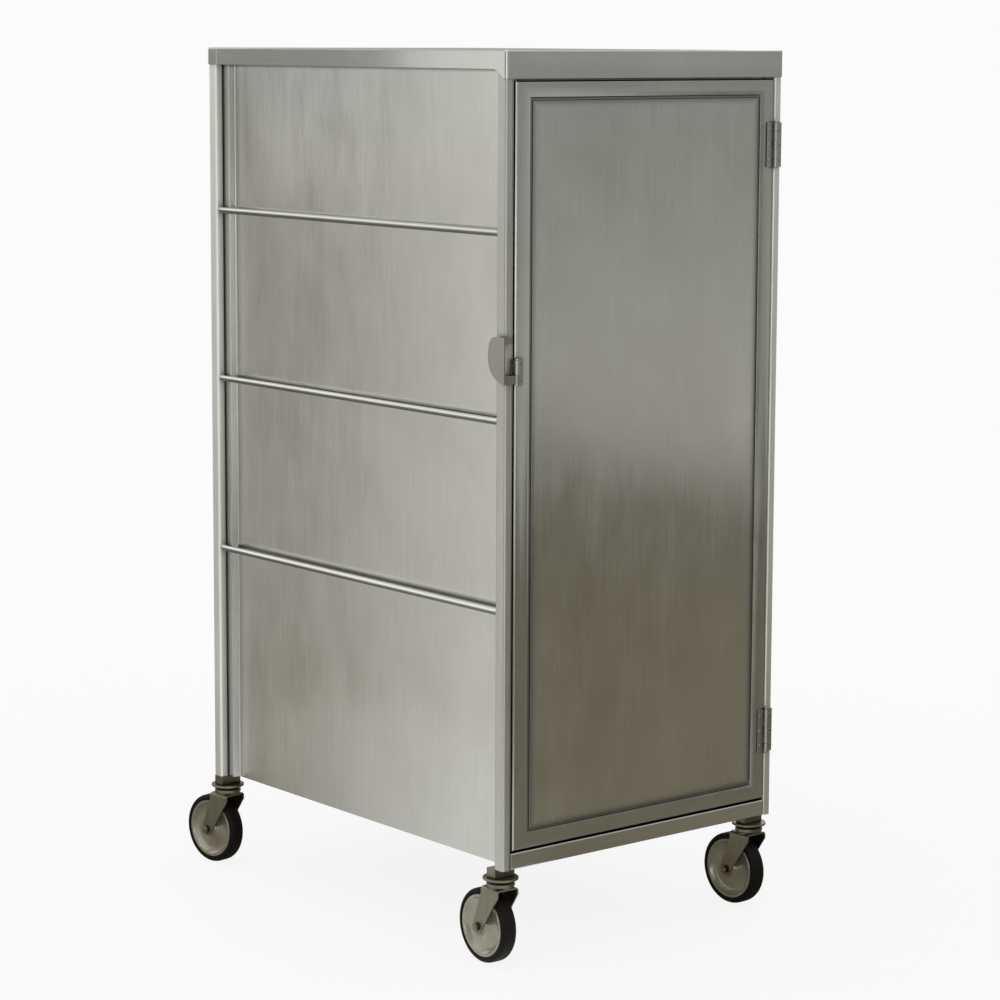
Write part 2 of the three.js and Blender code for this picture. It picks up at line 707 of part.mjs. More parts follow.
const raceBottom = casterHeight - plateThick - raceThick;
const crownTop = raceBottom - seam;
const crownBottom = crownTop - crownThick;
const bridgeBottom = crownBottom - forkPlate;
const forkHalf = forkInside / 2 + forkPlate;

/** Top plate, race and kingpin in one turned piece, fixed to the foot. */
function casterHousing() {
  const raceTop = casterHeight - plateThick;
  const pinTop = casterHeight + kingpinReach;
  const headTop = bridgeBottom - seam;
  const headBottom = headTop - kingpinHeadThick;
  return turned([
    [0, headBottom], [kingpinHead - 1, headBottom], [kingpinHead, headBottom + 1], [kingpinHead, headTop],
    [kingpinRadius, headTop], [kingpinRadius, raceBottom], [raceRadius - 1, raceBottom],
    [raceRadius, raceBottom + 1], [raceRadius, raceTop], [plateRadius, raceTop], [plateRadius, casterHeight],
    [kingpinRadius, casterHeight], [kingpinRadius, pinTop], [0, pinTop],
  ], turnedSides);
}

/** Fork pressed from plate: a rounded channel trimmed to the legs' raked outline, under a turned crown. */
function casterFork() {
  const footHeight = wheelRadius - legEnd;
  const channel = withBends([
    [-forkHalf, footHeight - 1], [-forkHalf, crownBottom], [forkHalf, crownBottom], [forkHalf, footHeight - 1],
  ], forkPlate * 2, 4);
  const bent = runY(
    new THREE.Shape(sheetSection(channel, -forkPlate).getPoints().map(({ x, y }) => new THREE.Vector2(y, x))),
    -forkFront - 1, casterTrail + legEnd + 1);

  // raked sides: straight below the crown, then tangent to the round end at the axle
  const shoulder = crownBottom - forkRoot;
  const tangentTo = (y, z, sign) => {
    const away = Math.hypot(y - casterTrail, z - wheelRadius);
    return Math.atan2(z - wheelRadius, y - casterTrail) + sign * Math.acos(legEnd / away);
  };
  const startAngle = tangentTo(-forkFront, shoulder, 1);
  const endAngle = tangentTo(forkBack, shoulder, -1);
  const leg = new THREE.Shape();
  leg.moveTo(forkBack, crownBottom + 1);
  leg.lineTo(-forkFront, crownBottom + 1);
  leg.lineTo(-forkFront, shoulder);
  leg.absarc(casterTrail, wheelRadius, legEnd, startAngle, endAngle + 2 * Math.PI, false);
  leg.lineTo(forkBack, shoulder);
  const legs = common(bent, runX(leg, -forkHalf - 1, forkHalf + 1, { curveSegments: 8 }));

  const crown = turned([
    [0, crownBottom - forkPlate / 2], [crownRadius - 3, crownBottom - forkPlate / 2],
    [crownRadius - 3, crownBottom + 1], [crownRadius, crownBottom + 3], [crownRadius, crownTop - 2],
    [crownRadius - 2, crownTop], [0, crownTop],
  ]);
  const axleHole = crosswise(axleRadius + seam, -forkHalf - 1, forkHalf + 1, pinSides)
    .translate(0, casterTrail, wheelRadius);
  const pinHole = upright(kingpinRadius + seam, bridgeBottom - 1, crownTop + 1);
  return cut(joined(legs, crown), pinHole, axleHole);
}

function wheelHub() {
  const outer = wheelRadius - tyreThick;
  const rimInner = outer - hubRim;
  const half = hubWide / 2;
  const web = hubWeb / 2;
  const boss = bossWide / 2;
  const bore = axleRadius + axleClearance;
  const halfProfile = [
    [bore, boss], [bossRadius - 2, boss], [bossRadius, boss - 2], [bossRadius + bossFlare, web],
    [rimInner - 4, web], [rimInner, half], [outer, half],
  ];
  const mirrored = halfProfile.toReversed().map(([radius, x]) => [radius, -x]);
  const profile = [...halfProfile, ...mirrored, halfProfile[0]].reverse();
  return turned(profile.map(([radius, x]) => [radius * overFlats, x]), wheelSides);
}

/** Made with flats, one of which rests on the floor; the sizes below are those over the flats. */
function wheelTyre() {
  const inner = wheelRadius - tyreThick + seam;
  const half = treadWide / 2;
  const section = new THREE.Path();
  section.moveTo(inner, -half + 2);
  section.lineTo(wheelRadius - tyreRound, -half);
  section.quadraticCurveTo(wheelRadius, -half, wheelRadius, -half + tyreRound);
  section.lineTo(wheelRadius, half - tyreRound);
  section.quadraticCurveTo(wheelRadius, half, wheelRadius - tyreRound, half);
  section.lineTo(inner, half - 2);
  section.lineTo(inner, -half + 2);
  return turned(section.getPoints(3).map(({ x, y }) => [x * overFlats, y]), wheelSides);
}

/** Bolt with a hexagon head at one end and a nut at the other. */
function wheelAxle() {
  const face = forkHalf + seam;
  return joined(
    crosswise(axleRadius, -face - nutThick - 2, face + 1, turnedSides),
    crosswise(nutRadius, -face - nutThick, -face, 6),
    crosswise(nutRadius, face, face + nutThick, 6));
}

function casters() {
  const turnedToX = (geometry) => geometry.clone().rotateY(Math.PI / 2);
  for (const { name, x, y } of footPlaces) {
    const swivel = new THREE.Group();
    swivel.position.set(x, y, 0);
    swivel.rotation.z = THREE.MathUtils.degToRad(casterHeading[name]);
    cart.add(swivel);
    piece(`caster_housing_${name}`, casterHousing(), 'zinc', swivel);
    piece(`caster_fork_${name}`, casterFork(), 'zinc', swivel);
    const axleLine = new THREE.Group();
    axleLine.position.set(0, casterTrail, wheelRadius);
    axleLine.rotation.x = Math.PI / wheelSides;
    swivel.add(axleLine);
    piece(`wheel_hub_${name}`, turnedToX(wheelHub()), 'hubGrey', axleLine);
    piece(`wheel_tyre_${name}`, turnedToX(wheelTyre()), 'rubber', axleLine);
    piece(`wheel_axle_${name}`, wheelAxle(), 'zinc', axleLine);
  }
}

// ---------------------------------------------------------------- the whole cart

topCap();
cornerPosts();
sidePanels();
rearPanel();
rubRods();
frontRail('front_bottom_rail', bodyBottom, railTop, 0, railTop - railSheet, railTop + stopLip);
frontRail('header_rail', lipBottom, postTop, headerInset, lipBottom + railSheet, lipBottom - headerDrop);
rearRail();
frontJambs();
floorPan();
ledgeRacks();
doorPan();
doorLiner();
doorGasket();
hinges();
latch();
feet();
casters();

// the origin is on the floor, under the middle of the whole outline
cart.updateMatrixWorld(true);
const middle = new THREE.Box3().setFromObject(cart, true).getCenter(new THREE.Vector3());
cart.position.set(-middle.x, -middle.y, 0);

export default cart;
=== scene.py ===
# Enclosed meal tray cart: the looks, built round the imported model. Metres, +Z up, door facing -Y.
import bpy
import bmesh
import json
import math
from mathutils import Euler, Matrix, Vector


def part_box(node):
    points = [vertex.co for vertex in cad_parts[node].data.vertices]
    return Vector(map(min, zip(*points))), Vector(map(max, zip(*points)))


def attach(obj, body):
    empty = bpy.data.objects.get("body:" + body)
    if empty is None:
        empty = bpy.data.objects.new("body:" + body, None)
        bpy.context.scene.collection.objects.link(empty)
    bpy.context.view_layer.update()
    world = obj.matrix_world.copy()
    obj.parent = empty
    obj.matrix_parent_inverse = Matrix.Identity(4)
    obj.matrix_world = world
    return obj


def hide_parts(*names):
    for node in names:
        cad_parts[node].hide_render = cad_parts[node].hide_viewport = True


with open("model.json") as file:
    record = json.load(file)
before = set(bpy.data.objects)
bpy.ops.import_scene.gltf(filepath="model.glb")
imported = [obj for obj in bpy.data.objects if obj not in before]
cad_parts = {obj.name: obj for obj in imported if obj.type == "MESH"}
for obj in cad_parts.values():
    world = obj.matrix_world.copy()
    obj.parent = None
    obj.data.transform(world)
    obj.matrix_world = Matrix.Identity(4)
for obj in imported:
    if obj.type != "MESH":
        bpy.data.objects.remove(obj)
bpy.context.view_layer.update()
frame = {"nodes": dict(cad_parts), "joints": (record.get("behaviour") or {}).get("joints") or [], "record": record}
nodeObjects = frame["nodes"]
jointNamed = {joint["name"]: joint for joint in frame["joints"]}
bodyOfNode = {
    node: body for body, members in frame["record"]["behaviour"]["bodies"].items() for node in members}
slotOfNode = {part["node"]: part["material_slot"] for part in frame["record"]["subparts"]}

mm = 0.001
sides = {"left": -1, "right": 1}
ends = ["front", "rear"]
corners = [f"{end}_{side}" for end in ends for side in sides]
rodRows = ["lower", "middle", "upper"]
hingeRows = ["lower", "upper"]

camera = {
    "place": (-3.3473, -4.1796, 1.5298),
    "turn": -39.22,        # degrees from looking along +Y
    "dip": 7.80,           # degrees below level
    "roll": 0.24,          # the photo hangs a little low on the right
    "lens": 108.4,
    "sensor": 36,
    "rise": -0.05,         # vertical shift, which keeps the uprights near to parallel
    "far": 200,
}


def setCamera():
    data = bpy.data.cameras.new("camera")
    data.lens = camera["lens"]
    data.sensor_width = camera["sensor"]
    data.shift_y = camera["rise"]
    data.clip_end = camera["far"]
    eye = bpy.data.objects.new("camera", data)
    eye.location = camera["place"]
    level = Euler((math.radians(90 - camera["dip"]), 0, math.radians(camera["turn"]))).to_matrix()
    eye.rotation_euler = (level @ Matrix.Rotation(math.radians(camera["roll"]), 3, "Z")).to_euler()
    bpy.context.scene.collection.objects.link(eye)
    bpy.context.scene.camera = eye


def addNode(tree, kind, inputs=None, **settings):
    node = tree.nodes.new(kind)
    for key, value in settings.items():
        setattr(node, key, value)
    for key, value in (inputs or {}).items():
        if isinstance(value, bpy.types.NodeSocket):
            tree.links.new(value, node.inputs[key])
        else:
            node.inputs[key].default_value = value
    return node


def mathNode(tree, operation, a, b=0.0, clamp=False):
    return addNode(tree, "ShaderNodeMath", {0: a, 1: b}, operation=operation, use_clamp=clamp).outputs[0]


def ranged(tree, value, low, high, span=(0.3, 0.7), smooth=False):      # a noise mostly keeps to that span
    settings = {"interpolation_type": "SMOOTHSTEP"} if smooth else {}
    return addNode(tree, "ShaderNodeMapRange", {
        "Value": value, "From Min": span[0], "From Max": span[1], "To Min": low, "To Max": high},
        **settings).outputs[0]


def mixedColour(tree, amount, a, b):
    return addNode(tree, "ShaderNodeMix", {0: amount, 6: a, 7: b}, data_type="RGBA").outputs[2]


def scaledColour(tree, colour, amount):
    return addNode(tree, "ShaderNodeVectorMath", {0: colour, "Scale": amount}, operation="SCALE").outputs[0]


def emptyMaterial(name):
    material = bpy.data.materials.new(name)
    material.use_nodes = True
    material.node_tree.nodes.clear()
    return material, material.node_tree


studio = {
    "paper": 0.965,        # what the camera sees of floor and backdrop
    "shade": 0.10,         # how much of the floor takes shadows
    "shadeSpan": (0.8, 2.4),      # where that fades out, in metres from the cart's middle
    "pale": (0.92, 0.92, 0.91),
    "wall": 0.36,          # walls of the studio, level with the cart
    "ceiling": 0.85,
    "wallSpan": (0.0, 0.8),      # the walls brighten up to the ceiling over this part of the way up
    "wallTint": (1.0, 0.99, 0.96),
    "size": 60,
    "sink": 0.0002,        # the floor lies this far under the cart
    "leftFloor": (0.36, 0.35, 0.31),
}

# the floor as the steel mirrors it, by its distance to the right in metres: dark carpet, then pale boards
frontFloor = [
    (0.0, (0.235, 0.212, 0.152)),
    (2.0, (0.215, 0.196, 0.140)),
    (3.6, (0.165, 0.160, 0.128)),
    (3.95, (0.290, 0.287, 0.250)),
    (4.3, (0.540, 0.540, 0.500)),
    (6.0, (0.550, 0.550, 0.520)),
    (10.0, (0.470, 0.470, 0.440)),
    (20.0, (0.350, 0.345, 0.320)),
]
duller = {"left": 0.78, "right": 1.10}      # the same floor as the door's left and right edges mirror it

# and beside the left panel, where a screen stands on it: bright before the front part, dull before the rear
sideFloor = [(0.0, (0.90, 0.90, 0.88)), (0.42, (0.66, 0.65, 0.62)), (0.95, (0.29, 0.265, 0.20))]
screen = {"x": -1.30, "edge": 1.12, "wide": 1.3, "tall": 2.2, "extra": 0.55}
screenMiddle = (screen["edge"] - screen["wide"] / 2, screen["tall"] / 2)      # along the cart and up

# the lines of floor that the door and the left side mirror, as y plus slope times x over a span, and the x at
# which the two floors part
mirrors = {"doorSlope": 1.1, "doorSpan": (-1.1, 0.15), "sideSlope": 4 / 3, "sideSpan": (-0.77, 0.0),
           "parting": -0.05}


def colourRamp(tree, value, stops):
    ramp = addNode(tree, "ShaderNodeValToRGB", {0: value})
    band = ramp.color_ramp
    while len(band.elements) < len(stops):
        band.elements.new(0.5)
    for element, (place, colour) in zip(band.elements, stops):
        element.position = place
        element.color = (*colour, 1)
    return ramp.outputs[0]


def setWorld():
    world = bpy.data.worlds.new("studio")
    world.use_nodes = True
    bpy.context.scene.world = world
    tree = world.node_tree
    tree.nodes.clear()
    direction = addNode(tree, "ShaderNodeTexCoord").outputs["Generated"]
    height = addNode(tree, "ShaderNodeSeparateXYZ", {0: direction}).outputs[2]
    lift = ranged(tree, height, studio["wall"], studio["ceiling"], studio["wallSpan"])
    seen = addNode(tree, "ShaderNodeLightPath").outputs["Is Camera Ray"]
    room = addNode(tree, "ShaderNodeBackground", {"Color": (*studio["wallTint"], 1), "Strength": lift})
    white = studio["paper"]
    paper = addNode(tree, "ShaderNodeBackground", {"Color": (white, white, white, 1), "Strength": 1.0})
    both = addNode(tree, "ShaderNodeMixShader", {0: seen, 1: room.outputs[0], 2: paper.outputs[0]})
    addNode(tree, "ShaderNodeOutputWorld", {"Surface": both.outputs[0]})


def mirroredFloor(tree, place):      # the floor that the steel sees and the camera doesn't
    x, y, _ = addNode(tree, "ShaderNodeSeparateXYZ", {0: place}).outputs
    far = frontFloor[-1][0]
    boards = colourRamp(tree, mathNode(tree, "DIVIDE", x, far), [(d / far, tone) for d, tone in frontFloor])
    alongDoor = mathNode(tree, "ADD", y, mathNode(tree, "MULTIPLY", x, mirrors["doorSlope"]))
    front = scaledColour(tree, boards,
                         ranged(tree, alongDoor, duller["left"], duller["right"], mirrors["doorSpan"]))
    alongSide = mathNode(tree, "ADD", y, mathNode(tree, "MULTIPLY", x, mirrors["sideSlope"]))
    beside = colourRamp(tree, ranged(tree, alongSide, 0.0, 1.0, mirrors["sideSpan"]), sideFloor)
    behindScreen = mathNode(tree, "LESS_THAN", x, screen["x"])
    left = mixedColour(tree, behindScreen, beside, (*studio["leftFloor"], 1))
    tone = mixedColour(tree, mathNode(tree, "GREATER_THAN", x, mirrors["parting"]), left, front)
    return addNode(tree, "ShaderNodeEmission", {"Color": tone, "Strength": 1.0}).outputs[0]


def setFloor():
    half = studio["size"] / 2
    outline = [(-half, -half, 0), (half, -half, 0), (half, half, 0), (-half, half, 0)]
    mesh = bpy.data.meshes.new("floor")
    mesh.from_pydata(outline, [], [(0, 1, 2, 3)])
    floor = bpy.data.objects.new("floor", mesh)
    floor.location.z = -studio["sink"]
    bpy.context.scene.collection.objects.link(floor)
    material, tree = emptyMaterial("paleFloor")
    place = addNode(tree, "ShaderNodeTexCoord").outputs["Object"]
    radius = addNode(tree, "ShaderNodeVectorMath", {0: place}, operation="LENGTH").outputs["Value"]
    near = ranged(tree, radius, studio["shade"], 0.0, studio["shadeSpan"], smooth=True)
    paper = addNode(tree, "ShaderNodeEmission", {
        "Color": (1, 1, 1, 1), "Strength": studio["paper"]}).outputs[0]
    pale = addNode(tree, "ShaderNodeBsdfDiffuse", {"Color": (*studio["pale"], 1)}).outputs[0]
    shown = addNode(tree, "ShaderNodeMixShader", {0: near, 1: paper, 2: pale}).outputs[0]
    seen = addNode(tree, "ShaderNodeLightPath").outputs["Is Camera Ray"]
    both = addNode(tree, "ShaderNodeMixShader", {0: seen, 1: mirroredFloor(tree, place), 2: shown}).outputs[0]
    addNode(tree, "ShaderNodeOutputMaterial", {"Surface": both})
    mesh.materials.append(material)


softboxes = {
    # where each stands and what it is aimed at, its width and height, its power in watts and its colour
    "sideScreen": {"place": (screen["x"], *screenMiddle), "aim": (0, *screenMiddle),
                   "size": (screen["wide"], screen["tall"]),
                   "power": math.pi * screen["wide"] * screen["tall"] * screen["extra"],
                   "tint": (1.0, 1.0, 0.98)},
    "above": {"place": (-0.4, -0.6, 3.6), "aim": (0, 0, 1.4), "size": (2.2, 2.2), "power": 16,
              "tint": (1.0, 1.0, 1.0)},
    "inFront": {"place": (-0.15, -3.7, 1.25), "aim": (-0.15, 0, 1.25), "size": (1.0, 2.4), "power": 4.4,
                "tint": (1.0, 1.0, 0.98)},
    "rightSide": {"place": (2.8, 1.2, 1.8), "aim": (0.3, 0, 0.8), "size": (1.6, 2.0), "power": 12,
                  "tint": (1.0, 0.99, 0.97)},
    "behind": {"place": (-0.8, 3.4, 2.0), "aim": (0, 0.4, 0.8), "size": (2.0, 2.0), "power": 12,
               "tint": (1.0, 0.99, 0.97)},
    "atCamera": {"place": (-3.9, -4.7, 1.7), "aim": (-0.2, -0.2, 0.6), "size": (3.0, 2.4), "power": 20,
                 "tint": (1.0, 0.99, 0.98)},
    "lowFront": {"place": (-2.3, -3.3, 0.6), "aim": (-0.2, -0.2, 0.3), "size": (1.6, 1.0), "power": 6,
                 "tint": (1.0, 1.0, 0.98)},
}


def setLights():
    for name, box in softboxes.items():
        data = bpy.data.lights.new(name, "AREA")
        data.shape = "RECTANGLE"
        data.size, data.size_y = box["size"]
        data.energy = box["power"]
        data.color = box["tint"]
        lamp = bpy.data.objects.new(name, data)
        lamp.location = box["place"]
        lamp.rotation_euler = (Vector(box["aim"]) - Vector(box["place"])).to_track_quat("-Z", "Y").to_euler()
        lamp.visible_camera = False
        bpy.context.scene.collection.objects.link(lamp)


setCamera()
setWorld()
setFloor()
setLights()
bpy.context.scene.view_settings.view_transform = "Standard"
print("stage: camera, floor and softboxes are set")


def objectPlace(tree, scale=(1, 1, 1)):
    place = addNode(tree, "ShaderNodeTexCoord").outputs["Object"]
    return addNode(tree, "ShaderNodeMapping", {"Vector": place, "Scale": scale}).outputs[0]


def noiseValue(tree, vector, scale, detail, roughness):
    return addNode(tree, "ShaderNodeTexNoise", {
        "Vector": vector, "Scale": scale, "Detail": detail, "Roughness": roughness}).outputs[0]


noises = {
    # stretch of the pattern, its scale, detail and roughness
    "cloud": ((1, 1, 1), 5.0, 4.0, 0.6),
    "smudge": ((1, 1, 0.45), 16.0, 5.0, 0.7),
    "swell": ((1, 1, 0.7), 4.2, 1.0, 0.4),
    "dust": ((1, 1, 1), 9.0, 3.0, 0.6),
}


def namedNoise(tree, name):
    stretch, *pattern = noises[name]
    return noiseValue(tree, objectPlace(tree, stretch), *pattern)


def blended(tree, fine, broad, share):      # two noises as one value, with this share of the fine one
    return mathNode(tree, "ADD", mathNode(tree, "MULTIPLY", ranged(tree, fine, 0, 1), share),
                    mathNode(tree, "MULTIPLY", ranged(tree, broad, 0, 1), 1 - share), clamp=True)


def bumped(tree, height, distance, normal=None):
    under = {} if normal is None else {"Normal": normal}
    return addNode(tree, "ShaderNodeBump", {
        "Strength": 1.0, "Distance": distance, "Height": height, **under}).outputs[0]


grainScales = {"up": (1, 1, 0.012), "across": (0.012, 1, 1), "along": (1, 0.012, 1)}
grainWays = {"up": (0, 0, 1), "across": (1, 0, 0), "along": (0, 1, 0)}

brushed = {"light": (0.66, 0.66, 0.64), "dark": (0.55, 0.55, 0.525), "fine": 700}
brushedLevel = {**brushed, "rough": (0.15, 0.23), "cut": 0.00001, "wave": 0.0001, "stretch": 0.7}
hardware = {"wave": 0.0, "stretch": 0.0}

steelFinishes = {
    # light and dark tone, roughness range, grain scale, cut and dent depth in metres, stretch of the shine
    "brushedUp": {**brushed, "grain": "up", "rough": (0.17, 0.26), "cut": 0.000012, "wave": 0.00012,
                  "stretch": 0.9},
    "brushedAcross": {**brushedLevel, "grain": "across"},
    "brushedAlong": {**brushedLevel, "grain": "along"},
    "polished": {**hardware, "grain": "across", "light": (0.64, 0.64, 0.62), "dark": (0.54, 0.54, 0.515),
                 "rough": (0.20, 0.32), "fine": 500, "cut": 0.000008},
    "cast": {**hardware, "grain": "up", "light": (0.47, 0.465, 0.44), "dark": (0.37, 0.365, 0.34),
             "rough": (0.26, 0.38), "fine": 240, "cut": 0.000012},
    "castDark": {**hardware, "grain": "up", "light": (0.35, 0.345, 0.325), "dark": (0.26, 0.255, 0.24),
                 "rough": (0.24, 0.36), "fine": 240, "cut": 0.000012},
    "zinc": {**hardware, "grain": "up", "light": (0.26, 0.245, 0.185), "dark": (0.16, 0.15, 0.11),
             "rough": (0.26, 0.42), "fine": 260, "cut": 0.00001},
}
# and those made from them, some with painted shade: posts, side panels, door skin, shaded front left post, rods
plain = steelFinishes["brushedUp"]
satin = {**plain, "light": (0.88, 0.88, 0.86), "dark": (0.74, 0.74, 0.715), "rough": (0.36, 0.48),
         "wave": 0.0, "stretch": 0.3}
steelFinishes.update({
    "satin": satin,
    "sidePanel": {**plain, "alone": True, "lipShade": 0.45, "stripShade": 0.72},
    "doorSkin": {**plain, "doorShade": 1.0},
    "satinShadedPost": {**satin, "light": (0.56, 0.56, 0.54), "dark": (0.46, 0.46, 0.44)},
    "rod": {**satin, "rough": (0.30, 0.42), "alone": True, "underside": 0.26},
})

# painted shade in corners, by ambient occlusion: how far it reaches, how dark it is and how open a place has
# to be to stay unshaded; then where the painted shadow lines under the cap's lip and along the strips start
# and over what length they fade, in metres; and which slopes count as an underside for its painted shade
paintedShade = {"reach": 0.015, "dark": 0.30, "open": (0.25, 0.92), "lip": 0.030, "lipFade": 0.007, "strip": 0.0385,
         "stripFade": 0.002, "under": (-0.15, 0.50)}
doorShade = {"wide": 0.050, "latchExtra": 0.008}      # painted shade, in metres from the door's edges
doorShadeTones = [      # painted shade from border to panel
    (0.0, 0.88), (0.50, 0.86), (0.54, 0.55), (0.64, 0.58), (0.80, 0.94), (0.92, 1.0)]


def placeAxes(tree):
    return addNode(tree, "ShaderNodeSeparateXYZ", {0: objectPlace(tree)}).outputs


def shadeUnderLip(tree, amount):      # painted shadow line under the cap's lip on the side panel
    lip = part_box("top_cap")[1].z - paintedShade["lip"]
    return ranged(tree, placeAxes(tree)[2], 1.0, amount, (lip - paintedShade["lipFade"], lip), smooth=True)


def shadeUndersides(tree, amount):      # painted shade on what looks down
    facing = addNode(tree, "ShaderNodeTexCoord").outputs["Normal"]
    z = addNode(tree, "ShaderNodeSeparateXYZ", {0: facing}).outputs[2]
    return ranged(tree, z, amount, 1.0, paintedShade["under"], smooth=True)


def shadeDoor(tree, amount):      # painted shade by distance in from the door's edges: border, groove, panel
    low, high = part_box("door_pan")
    x, _, z = placeAxes(tree)
    fromLatch = mathNode(tree, "SUBTRACT", x, low.x + doorShade["latchExtra"])
    fromHinge = mathNode(tree, "SUBTRACT", high.x, x)
    fromFoot = mathNode(tree, "SUBTRACT", z, low.z)
    fromTop = mathNode(tree, "SUBTRACT", high.z, z)
    inward = mathNode(tree, "MINIMUM", mathNode(tree, "MINIMUM", fromLatch, fromHinge),
                      mathNode(tree, "MINIMUM", fromFoot, fromTop))
    share = mathNode(tree, "DIVIDE", inward, doorShade["wide"])
    tone = colourRamp(tree, share, [(place, (value, value, value)) for place, value in doorShadeTones])
    return ranged(tree, tone, 1 - amount, 1.0, (0.0, 1.0))


def shadeStrips(tree, amount):      # painted shade on the strips between the joggle and the posts
    low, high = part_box("side_panel_left")
    away = mathNode(tree, "ABSOLUTE", mathNode(tree, "SUBTRACT", placeAxes(tree)[1], (low.y + high.y) / 2))
    edge = (high.y - low.y) / 2 - paintedShade["strip"]
    return ranged(tree, away, 1.0, amount, (edge, edge + paintedShade["stripFade"]))


# the painted shades, each under the name by which a finish asks for it
shades = {"lipShade": shadeUnderLip, "underside": shadeUndersides, "doorShade": shadeDoor,
          "stripShade": shadeStrips}
# detail and roughness of the grain, its share of the tone and its part in the roughness, rays for painted
# corner shade, and a step aside for the shine's direction, never quite zero where a face looks along the grain
steel = {"grain": (3.0, 0.65), "share": 0.45, "glint": 0.04, "rays": 4, "aside": (0.004, 0.006, 0.003)}


def steelMaterial(name, look):
    material, tree = emptyMaterial(name)
    grain = noiseValue(tree, objectPlace(tree, grainScales[look["grain"]]), look["fine"], *steel["grain"])
    tone = blended(tree, grain, namedNoise(tree, "cloud"), steel["share"])
    metal = mixedColour(tree, tone, (*look["dark"], 1), (*look["light"], 1))
    # ambient occlusion darkens the base colour in corners and gaps: painted shade
    closeBy = addNode(tree, "ShaderNodeAmbientOcclusion", {"Distance": paintedShade["reach"]}, samples=steel["rays"],
                      only_local=look.get("alone", False)).outputs["AO"]
    paintedShadeFactor = ranged(tree, closeBy, paintedShade["dark"], 1.0, paintedShade["open"])
    for kind, shade in shades.items():
        if kind in look:
            paintedShadeFactor = mathNode(tree, "MULTIPLY", paintedShadeFactor, shade(tree, look[kind]))
    glint = mathNode(tree, "MULTIPLY", ranged(tree, grain, -0.5, 0.5), steel["glint"])
    roughness = mathNode(tree, "ADD", ranged(tree, namedNoise(tree, "smudge"), *look["rough"]), glint)
    normal = bumped(tree, grain, look["cut"])
    if look["wave"]:
        normal = bumped(tree, namedNoise(tree, "swell"), look["wave"], normal)
    shader = addNode(tree, "ShaderNodeBsdfPrincipled", {
        "Base Color": scaledColour(tree, metal, paintedShadeFactor), "Roughness": roughness, "Normal": normal,
        "Metallic": 1.0, "Anisotropic": look["stretch"]})
    if look["stretch"]:
        face = addNode(tree, "ShaderNodeNewGeometry").outputs["Normal"]
        turned = addNode(tree, "ShaderNodeVectorMath", {0: face, 1: grainWays[look["grain"]]},
                         operation="CROSS_PRODUCT").outputs[0]
        acrossGrain = addNode(tree, "ShaderNodeVectorMath", {0: turned, 1: steel["aside"]},
                              operation="ADD").outputs[0]
        tree.links.new(acrossGrain, shader.inputs["Tangent"])
    addNode(tree, "ShaderNodeOutputMaterial", {"Surface": shader.outputs[0]})
    return material


softFinishes = {
    "hubPlastic": {"light": (0.36, 0.345, 0.275), "dark": (0.185, 0.172, 0.128), "rough": (0.14, 0.25),
                   "pattern": 42, "skin": 0.00003, "gloss": 0.9, "metal": 0.4},
    "tyreRubber": {"light": (0.010, 0.009, 0.008), "dark": (0.004, 0.0035, 0.003), "rough": (0.50, 0.70),
                   "pattern": 160, "skin": 0.00006, "gloss": 0.12, "metal": 0.0},
    "gasketRubber": {"light": (0.070, 0.070, 0.068), "dark": (0.038, 0.038, 0.037), "rough": (0.62, 0.82),
                     "pattern": 220, "skin": 0.00006, "gloss": 0.4, "metal": 0.0},
}
soft = {"skin": (4.0, 0.6), "share": 0.35}      # detail and roughness of the skin, and its share of the tone


def softMaterial(name, look):
    material, tree = emptyMaterial(name)
    skin = noiseValue(tree, objectPlace(tree), look["pattern"], *soft["skin"])
    dust = namedNoise(tree, "dust")
    tone = blended(tree, skin, dust, soft["share"])
    shader = addNode(tree, "ShaderNodeBsdfPrincipled", {
        "Base Color": mixedColour(tree, tone, (*look["dark"], 1), (*look["light"], 1)),
        "Roughness": ranged(tree, dust, *look["rough"]), "Normal": bumped(tree, skin, look["skin"]),
        "Specular IOR Level": look["gloss"], "Metallic": look["metal"]})
    addNode(tree, "ShaderNodeOutputMaterial", {"Surface": shader.outputs[0]})
    return material


finish = {name: steelMaterial(name, look) for name, look in steelFinishes.items()}
finish.update({name: softMaterial(name, look) for name, look in softFinishes.items()})
print("finishes:", ", ".join(finish))


def linked(name, mesh):
    thing = bpy.data.objects.new(name, mesh)
    bpy.context.scene.collection.objects.link(thing)
    return thing


def settle(thing, body, slot, *replaced):
    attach(thing, body)
    if replaced:
        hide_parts(*replaced)
    return thing


def plainMesh(thing):      # the object's mesh with its modifiers applied, and none left on it
    depsgraph = bpy.context.evaluated_depsgraph_get()
    mesh = bpy.data.meshes.new_from_object(thing.evaluated_get(depsgraph))
    thing.modifiers.clear()
    old, thing.data = thing.data, mesh
    bpy.data.meshes.remove(old)
    mesh.name = thing.name
    return mesh


def mergedCopy(node, name, near=0.002, flat=0.4):
    # the node's loose triangles as one closed mesh with flat faces; points this near (mm) are joined, and
    # triangles this flat (degrees)
    mesh = nodeObjects[node].data.copy()
    mesh.name = name
    mesh.materials.clear()
    shape = bmesh.new()
    shape.from_mesh(mesh)
    bmesh.ops.remove_doubles(shape, verts=shape.verts, dist=near * mm)
    bmesh.ops.dissolve_limit(shape, angle_limit=math.radians(flat), verts=shape.verts, edges=shape.edges)
    shape.to_mesh(mesh)
    shape.free()
    return mesh


